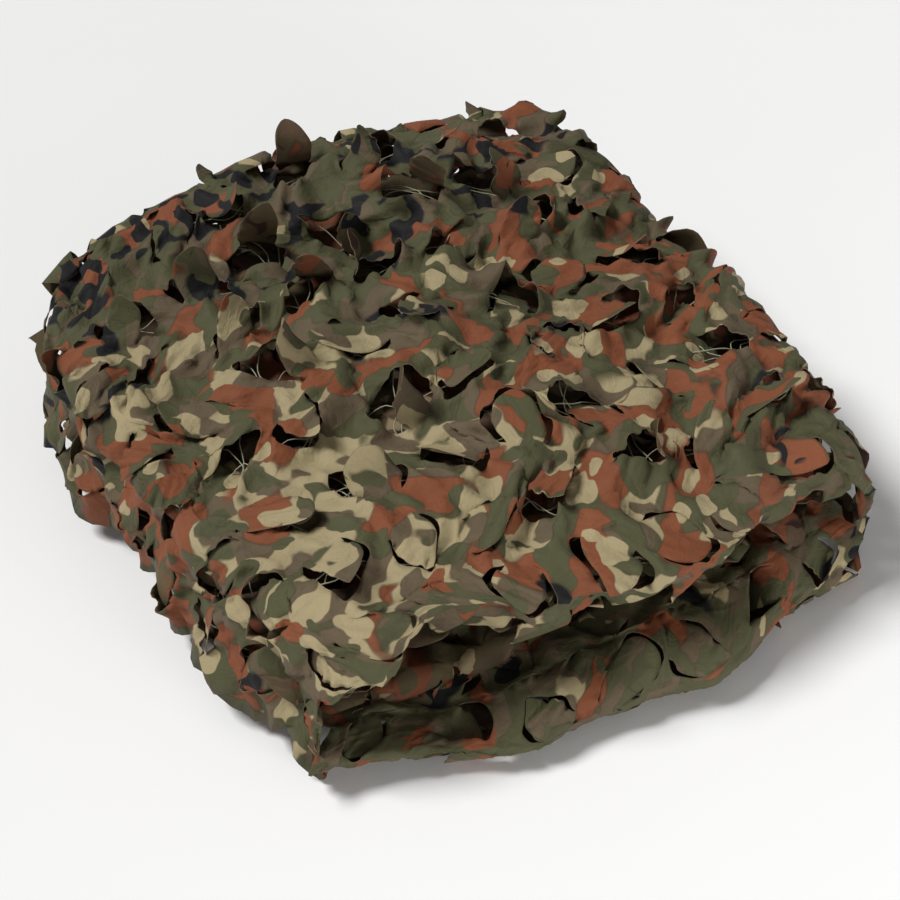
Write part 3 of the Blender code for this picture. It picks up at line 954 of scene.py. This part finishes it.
def outer_sheet():
    """The top layer with its side drapes, down to the upper front fold."""
    rng = random.Random(SEED)
    detail_rng = random.Random(SEED + 1)
    sheet = Sheet("outer_cloth", outer_relief)
    for row in range(TOP_ROW, TOP_END + 2):
        for column in range(COLUMNS):
            if on_drape(column) and row >= DRAPE_END:
                continue
            style = laid(row, column, leaf_style(row, column, rng), detail_rng)
            add_cell(sheet, row, column, 1, FINE, style, detail_rng, (0, COLUMNS),
                     LEAF_GROWTH)
    return sheet, rng


def inner_style(row, column, rng):
    """Leaves inside the pack lie nearly flat, and hang out at its edges."""
    direction = rng.uniform(-math.pi, math.pi)
    lift = rng.uniform(-0.2, 0.2)
    curl = rng.uniform(-5.0, 5.0)
    if piece_at(row)["name"] == "floor":
        lift, curl = -rng.uniform(0.05, 0.2), 0.0
    elif piece_at(row)["name"].endswith("_fold"):
        direction = rng.uniform(-0.6, 0.6) + rng.choice((0, math.pi))
        lift = rng.uniform(0.1, 0.6)
    elif column in (DRAPE_COLUMNS, COLUMNS - DRAPE_COLUMNS - 1):
        direction = outward(column) + rng.uniform(-0.5, 0.5)
    return direction, lift, curl, rng.choice(("round", "pointed"))


def inner_sheet(name, first, last, rng, fold_rng=None):
    """Layers inside the pack, in half rows, with the lower front fold in full detail."""
    sheet = Sheet(name, inner_relief)
    edges = (DRAPE_COLUMNS, COLUMNS - DRAPE_COLUMNS)
    for row in range(first, last):
        folded = piece_at(row)["name"].endswith("_fold")
        for column in range(*edges):
            if LOWER_FOLD <= row < LOWER_FOLD + 2:
                style = laid(row, column, leaf_style(row, column, fold_rng), rng)
                add_cell(sheet, row, column, 1, FINE, style, rng, edges, LEAF_GROWTH)
                continue
            for part, span in ((0, 1),) if folded else ((0, 0.5), (0.5, 0.5)):
                add_cell(sheet, row + part, column, span, COARSE,
                         inner_style(row, column, rng), rng, edges)
    return sheet


# ---------------------------------------------------------------- materials
class Wire:
    """The output of a node, which can stand in a sum or a product."""

    def __init__(self, build, socket):
        self.build, self.socket = build, socket

    def math(self, operation, *values, clamp=False):
        settings = dict(operation=operation, use_clamp=clamp)
        return self.build.node("ShaderNodeMath", settings, dict(enumerate(values)))

    def __add__(self, other):
        return self.math("ADD", self, other)

    def __sub__(self, other):
        return self.math("SUBTRACT", self, other)

    def __rsub__(self, other):
        return self.math("SUBTRACT", other, self)

    def __mul__(self, other):
        return self.math("MULTIPLY", self, other)

    def __truediv__(self, other):
        return self.math("DIVIDE", self, other)

    __radd__ = __add__
    __rmul__ = __mul__

    def __abs__(self):
        return self.math("ABSOLUTE", self)

    def clamped(self):
        return self.math("ADD", self, 0.0, clamp=True)

    def above(self, threshold, softness):
        """0 below the threshold and 1 above it, with a soft edge."""
        return ((self - threshold) / softness + 0.5).clamped()

    def sine(self):
        return self.math("SINE", self)

    def larger(self, other):
        return self.math("MAXIMUM", self, other)


class Finish:
    """One material's node tree, written as expressions."""

    def __init__(self, name):
        self.material = bpy.data.materials.new(name)
        self.material.use_nodes = True
        self.tree = self.material.node_tree
        self.shader = self.tree.nodes["Principled BSDF"]

    def node(self, kind, settings=None, inputs=None, output=0):
        made = self.tree.nodes.new(kind)
        for key, value in (settings or {}).items():
            setattr(made, key, value)
        for key, value in (inputs or {}).items():
            self.feed(made.inputs[key], value)
        return Wire(self, made.outputs[output])

    def feed(self, socket, value):
        if isinstance(value, Wire):
            self.tree.links.new(value.socket, socket)
        elif isinstance(value, (int, float)) and hasattr(socket.default_value, "__len__"):
            socket.default_value = [value] * len(socket.default_value)
        else:
            socket.default_value = value

    def vector(self, operation, *values, **inputs):
        return self.node("ShaderNodeVectorMath", dict(operation=operation),
                         {**dict(enumerate(values)), **inputs})

    def mix(self, share, first, second):
        """From the first colour to the second."""
        return self.node("ShaderNodeMix", dict(data_type="RGBA"),
                         {0: share, 6: first, 7: second}, output=2)

    def dimmed(self, share, colour):
        return self.mix(share, (0.0, 0.0, 0.0, 1.0), colour)

    def strip_uv(self):
        return self.node("ShaderNodeUVMap", dict(uv_map="strip"))

    def object_place(self):
        return self.node("ShaderNodeTexCoord", output=3)

    def parts(self, vector):
        made = self.node("ShaderNodeSeparateXYZ", inputs={0: vector}).socket.node
        return [Wire(self, made.outputs[axis]) for axis in range(3)]

    def noise(self, vector, scale, detail=2.0, roughness=0.5, distortion=0.0, output=0,
              space="2D"):
        return self.node("ShaderNodeTexNoise", dict(noise_dimensions=space),
                         {"Vector": vector, "Scale": scale, "Detail": detail,
                          "Roughness": roughness, "Distortion": distortion}, output)

    def share(self, name):
        return self.node("ShaderNodeAttribute", dict(attribute_name=name), output=2)

    def bump(self, height, distance, strength, under=None):
        inputs = {"Strength": strength, "Distance": distance, "Height": height}
        if under is not None:
            inputs["Normal"] = under
        return self.node("ShaderNodeBump", {}, inputs)

    def set(self, **values):
        names = dict(colour="Base Color", roughness="Roughness", normal="Normal",
                     sheen="Sheen Weight", sheen_roughness="Sheen Roughness",
                     specular="Specular IOR Level")
        for key, value in values.items():
            self.feed(self.shader.inputs[names[key]], value)
        return self.material


def linear(red, green, blue):
    """A colour given 0 to 255 a channel, as the shader takes it."""
    def one(value):
        value /= 255
        return value / 12.92 if value <= 0.04045 else ((value + 0.055) / 1.055) ** 2.4
    return (one(red), one(green), one(blue), 1.0)


SAND = linear(164, 150, 115)
OLIVE = linear(81, 80, 55)
RUST = linear(128, 75, 49)
TAUPE = linear(98, 85, 66)
BLACK = linear(28, 28, 30)
OVERLAP = linear(46, 36, 27)        # where two colours of the print overlap
LOAM = linear(80, 50, 37)           # the reverse side
EDGE_COLOUR = linear(140, 128, 104)
CORD_DARK = linear(120, 122, 96)
CORD_PALE = linear(182, 180, 152)

# Scales are in waves or spots to a metre
WOBBLE_SCALE = 72.0                 # of the blotches' edges
WOBBLE = 0.0095                     # how far they stray
PRINT_LAYERS = (
    # name, shift of the noise, scale
    ("taupe", 3.0, 38.0), ("sand", 17.0, 27.0), ("rust", 31.0, 26.0),
    ("olive", 47.0, 40.0), ("black", 61.0, 20.0), ("dots", 83.0, 60.0),
)
ISLAND_EDGE = 0.025                 # how soft the edges are: of round spots,
PRINT_EDGE = 0.022                  # of blotches,
DOT_EDGE = 0.03                     # of the black dots,
PICK_EDGE = 0.01                    # and of the choice of the spots that show
RIM_SHARPNESS = 45.0                # of the dark line round a blotch
CREASE_SCALE = 70.0
WEAVE_PITCH = 0.0011


def islands(build, spot, scale, size):
    """Round spots, one in each patch of cloth: where they are, and a random number."""
    inside = build.node("ShaderNodeTexVoronoi", dict(voronoi_dimensions="2D"),
                        {"Scale": scale, "Vector": spot})
    pick = Wire(build, inside.socket.node.outputs["Color"])
    return 1 - inside.above(size, ISLAND_EDGE), build.parts(pick)[0]


def overprinted(build, colour, field, paint, rim):
    """One more colour of the print where the field is above 0, darker at its rim."""
    colour = build.mix(field.above(0.0, PRINT_EDGE), colour, paint)
    line = (1 - RIM_SHARPNESS * abs(field)).clamped() * rim
    return build.mix(line, colour, OVERLAP)


def print_colour(build, strip):
    """Blotches in five colours, rounded and irregular, shared out by the zones."""
    wobble = build.noise(strip, WOBBLE_SCALE, 0.0, output=1)
    spot = build.vector("ADD", strip, build.vector("SCALE", wobble, Scale=WOBBLE))
    layer = {}
    for name, shift, scale in PRINT_LAYERS:
        moved = build.vector("ADD", spot, (shift, shift * 0.37, 0.0))
        layer[name] = build.noise(moved, scale, 0.35, 0.4)
    large, large_pick = islands(build, spot, 28.0, 0.29)
    small, small_pick = islands(build, spot, 47.0, 0.27)
    sand = build.share("sand_share")
    rust = build.share("rust_share")
    black = build.share("black_share")
    colour = OLIVE
    for field, paint, rim in (
            (layer["taupe"] - 0.51, TAUPE, 0.12),
            (layer["sand"] - (0.58 - 0.17 * sand), SAND, 0.16),
            (layer["taupe"] - 0.55, TAUPE, 0.12),
            (layer["rust"] - (0.575 - 0.15 * rust), RUST, 0.42),
            (layer["olive"] - (0.60 + 0.02 * sand), OLIVE, 0.32)):
        colour = overprinted(build, colour, field, paint, rim)

    def picked(spots, pick, above=None, below=None):
        """Those of the spots whose random number lies in a range."""
        if above is not None:
            spots = spots * pick.above(above, PICK_EDGE)
        if below is not None:
            spots = spots * (1 - pick.above(below, PICK_EDGE))
        return spots

    for spots, paint in (
            (picked(small, small_pick, below=0.07 + 0.12 * rust), SAND),
            (picked(small, small_pick, above=0.84), OLIVE),
            (picked(large, large_pick, above=0.36, below=0.48), OLIVE),
            (picked(large, large_pick, below=0.08 + 0.13 * rust + 0.10 * sand), SAND),
            (picked(large, large_pick, above=0.90 - 0.07 * sand), RUST),
            (layer["dots"].above(0.535, DOT_EDGE)
             * layer["black"].above(0.71 - 0.21 * black, DOT_EDGE), BLACK)):
        colour = build.mix(spots, colour, paint)
    return colour


def crease_height(build, strip):
    """Thin sharp creases of cloth that was packed small, drawn out across the strip."""
    stretched = build.vector("MULTIPLY", strip, (0.55, 1.0, 1.0))
    field = build.noise(stretched, 42.0, 1.5, 0.5, 0.6)
    return (1 - abs(7.0 * (field - 0.5))).larger(0.0)


def weave_height(build, strip):
    """Fine plain weave."""
    across, along, _ = build.parts(strip)
    turn = 2 * math.pi / WEAVE_PITCH
    return (across * turn).sine() * (along * turn).sine()


def soft_creases(build, strip):
    return build.noise(strip, CREASE_SCALE, 4.0, 0.62, 0.8)


def printed_face():
    build = Finish("printed_face")
    strip = build.strip_uv()
    # The print is dimmed by broad noise: partly uneven fading of the print, and partly
    # painted shade that stands in for the shading over the folds.
    wear_and_painted_shade = build.noise(strip, 9.0, 4.0, 0.6)
    fade = build.noise(strip, 260.0, 3.0, 0.7)
    tone = (0.72 + 0.42 * wear_and_painted_shade + 0.12 * fade).clamped()
    creases = soft_creases(build, strip)
    normal = build.bump(creases, 0.0030, 0.60)
    normal = build.bump(crease_height(build, strip), 0.0011, 0.40, normal)
    normal = build.bump(weave_height(build, strip), 0.00010, 0.6, normal)
    return build.set(colour=build.dimmed(tone, print_colour(build, strip)),
                     roughness=0.56 + 0.22 * creases, normal=normal,
                     sheen=0.03, sheen_roughness=0.5, specular=0.18)


def printed_reverse():
    """The back of the cloth, where the print shows through darker and duller."""
    build = Finish("printed_reverse")
    strip = build.strip_uv()
    colour = build.mix(0.40, print_colour(build, strip), LOAM)
    creases = soft_creases(build, strip)
    tone = build.noise(strip, 22.0, 3.0)
    return build.set(colour=build.dimmed(0.82 + 0.2 * tone, colour),
                     roughness=0.74 + 0.14 * creases,
                     normal=build.bump(creases, 0.0022, 0.5), specular=0.2)


def cut_edge():
    build = Finish("cut_edge")
    fray = build.noise(build.strip_uv(), 320.0, 2.0)
    return build.set(colour=build.mix(fray, LOAM, EDGE_COLOUR),
                     roughness=0.7 + 0.2 * fray, specular=0.2)


# ---------------------------------------------------------------- the backing net
CORD_RADIUS = 0.00048
CORD_SIDES = 5
CORD_STEP = 0.0045         # between the rings of a cord
CORD_LOOSENESS = 0.0022    # how far a cord strays from its path
CORD_DROP = 0.0095         # from the cloth to the cords under it
CORD_SAG = 0.0050          # how much that varies
CORD_WANDER = 0.42         # sideways, in cells
CORD_POINTS = 10           # along each cell


def net_paths():
    """Rows of points along the cords, a little below the cloth's outer layer."""
    rng = random.Random(SEED + 5)
    rows, columns = range(TOP_ROW, TOP_END), range(COLUMNS)
    paths = []
    for lines, cells, layer in ((rows, columns, 1.0), (columns, rows, 2.0)):
        for line in lines:
            for _ in range(rng.choice((1, 2))):
                phase = rng.uniform(0, 40)
                path = []
                for step in range((len(cells) - 1) * CORD_POINTS + 1):
                    along = cells[0] + 0.5 + step / CORD_POINTS
                    aside = CORD_WANDER * noise_at(along * 1.9, phase, layer)
                    spot = (line + 0.5 + aside, along)
                    row, column = spot if lines is rows else spot[::-1]
                    loose = CORD_SAG * noise_at(row * 2.3, column * 2.3, phase)
                    drop = CORD_DROP + loose - outer_relief(row, column)
                    path.append(place(row, column) - normal_at(row, column) * drop)
                paths.append(path)
    return paths


def cord_tree(material):
    """Round twisted cord along every path: resampled, made loose, and skinned."""
    tree = bpy.data.node_groups.new("twisted_cord", "GeometryNodeTree")
    for name, kind in (("Paths", "Geometry"), ("Step", "Float"), ("Radius", "Float"),
                       ("Sides", "Int"), ("Looseness", "Float")):
        tree.interface.new_socket(name, in_out="INPUT", socket_type="NodeSocket" + kind)
    tree.interface.new_socket("Cords", in_out="OUTPUT", socket_type="NodeSocketGeometry")

    def node(kind, inputs, **settings):
        made = tree.nodes.new(kind)
        for key, value in settings.items():
            setattr(made, key, value)
        for name, value in inputs.items():
            if isinstance(value, bpy.types.NodeSocket):
                tree.links.new(value, made.inputs[name])
            else:
                made.inputs[name].default_value = value
        return made.outputs

    given = node("NodeGroupInput", {})
    path = node("GeometryNodeResampleCurve",
                {"Curve": given["Paths"], "Length": given["Step"]}, mode="LENGTH")[0]
    stray = node("ShaderNodeTexNoise", {"Scale": 55.0, "Detail": 1.0})["Color"]
    stray = node("ShaderNodeVectorMath", {0: stray, 1: (0.5, 0.5, 0.5)},
                 operation="SUBTRACT")[0]
    stray = node("ShaderNodeVectorMath", {0: stray, "Scale": given["Looseness"]},
                 operation="SCALE")[0]
    path = node("GeometryNodeSetPosition", {"Geometry": path, "Offset": stray})[0]
    profile = node("GeometryNodeCurvePrimitiveCircle",
                   {"Resolution": given["Sides"], "Radius": given["Radius"]})["Curve"]
    cords = node("GeometryNodeCurveToMesh",
                 {"Curve": path, "Profile Curve": profile, "Fill Caps": True})[0]
    cords = node("GeometryNodeSetShadeSmooth", {"Geometry": cords})[0]
    cords = node("GeometryNodeRealizeInstances", {"Geometry": cords})[0]
    cords = node("GeometryNodeSetMaterial", {"Geometry": cords, "Material": material})[0]
    node("NodeGroupOutput", {0: cords})
    return tree


def net_cords(material):
    """The net as a plain mesh, made by the node tree from the paths."""
    curve = bpy.data.curves.new("cord_paths", "CURVE")
    curve.dimensions = "3D"
    for path in net_paths():
        spline = curve.splines.new("POLY")
        spline.points.add(len(path) - 1)
        for point, place_of in zip(spline.points, path):
            point.co = (*place_of, 1.0)
    holder = bpy.data.objects.new("cord_paths", curve)
    bpy.context.scene.collection.objects.link(holder)
    modifier = holder.modifiers.new("cords", "NODES")
    modifier.node_group = cord_tree(material)
    values = {"Step": CORD_STEP, "Radius": CORD_RADIUS, "Sides": CORD_SIDES,
              "Looseness": CORD_LOOSENESS}
    for item in modifier.node_group.interface.items_tree:
        if item.name in values:
            modifier[item.identifier] = values[item.name]
    bpy.context.view_layer.update()
    graph = bpy.context.evaluated_depsgraph_get()
    mesh = bpy.data.meshes.new_from_object(holder.evaluated_get(graph))
    cords = bpy.data.objects.new("net_cords", mesh)
    bpy.context.scene.collection.objects.link(cords)
    bpy.data.objects.remove(holder, do_unlink=True)
    return cords


def cord_finish():
    build = Finish("net_cord")
    place_in = build.object_place()
    tone = build.noise(place_in, 120.0, 3.0, space="3D")
    ply = build.noise(place_in, 900.0, 2.0, space="3D")
    return build.set(colour=build.mix(tone, CORD_DARK, CORD_PALE),
                     roughness=0.5 + 0.25 * tone, specular=0.4,
                     normal=build.bump(ply, 0.0003, 0.7))


# ---------------------------------------------------------------- pieces
THIN = 0.0004              # the thickness of the real cloth
cloth_finishes = [printed_face(), printed_reverse(), cut_edge()]
outer, fold_rng = outer_sheet()
layer_rng = random.Random(SEED + 2)
upper = inner_sheet("upper_inner_layers", 0, TOP_ROW, layer_rng)
lower = inner_sheet("lower_layers", TOP_END + 2, ROWS, layer_rng, fold_rng)
BODY_FLAT = BODY_COLUMNS * COLUMN
for sheet, width, first, last in ((outer, COLUMNS * COLUMN, TOP_ROW, TOP_END + 2),
                                  (upper, BODY_FLAT, 0, TOP_ROW),
                                  (lower, BODY_FLAT, TOP_END + 2, ROWS)):
    settle(sheet)
    piece = sheet.object(cloth_finishes, THIN)
    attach(piece, "root")
    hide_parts("incised_cloth")
    flat_length = strip_length(last) - strip_length(first)
    round(width + HEM_POINT, 3)
cords = net_cords(cord_finish())
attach(cords, "root")
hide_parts("backing_net")


# ---------------------------------------------------------------- floor and light
FLOOR_SIZE = 60.0
FLOOR_DROP = 0.0002        # keeps the floor clear of the foot
SKY_COLOUR = (1.0, 0.985, 0.96, 1.0)
SKY_STRENGTH = 0.185


def make_floor():
    bpy.ops.mesh.primitive_plane_add(size=FLOOR_SIZE, location=(0.0, 0.0, -FLOOR_DROP))
    floor = bpy.context.object
    floor.name = "floor"
    build = Finish("floor")
    grain = build.noise(build.object_place(), 3.0, 2.0, space="3D")
    tone = build.mix(grain, linear(247, 247, 247), linear(250, 250, 250))
    floor.data.materials.append(build.set(colour=tone, roughness=0.9, specular=0.1))


def add_light(name, kind, power, where, aim, **settings):
    data = bpy.data.lights.new(name, kind)
    data.energy = power
    for key, value in settings.items():
        setattr(data, key, value)
    light = bpy.data.objects.new(name, data)
    light.location = where
    light.rotation_euler = (Vector(aim) - Vector(where)).to_track_quat("-Z", "Y").to_euler()
    bpy.context.scene.collection.objects.link(light)


def make_light():
    world = bpy.data.worlds.new("studio")
    world.use_nodes = True
    sky = world.node_tree.nodes["Background"]
    sky.inputs["Color"].default_value = SKY_COLOUR
    sky.inputs["Strength"].default_value = SKY_STRENGTH
    bpy.context.scene.world = world
    bpy.context.scene.view_settings.view_transform = "Standard"
    add_light("overhead", "SUN", 2.75, (0.0, 0.0, 0.0), (0.62, -0.38, -1.0),
              angle=math.radians(20.0))
    add_light("left", "AREA", 3.0, (-1.1, -1.9, 1.0), (0.0, 0.0, 0.08),
              shape="DISK", size=0.9)
    add_light("front", "AREA", 25.0, (0.2, -2.2, 0.30), (0.0, -0.2, 0.03),
              shape="DISK", size=1.0)


make_floor()
make_light()
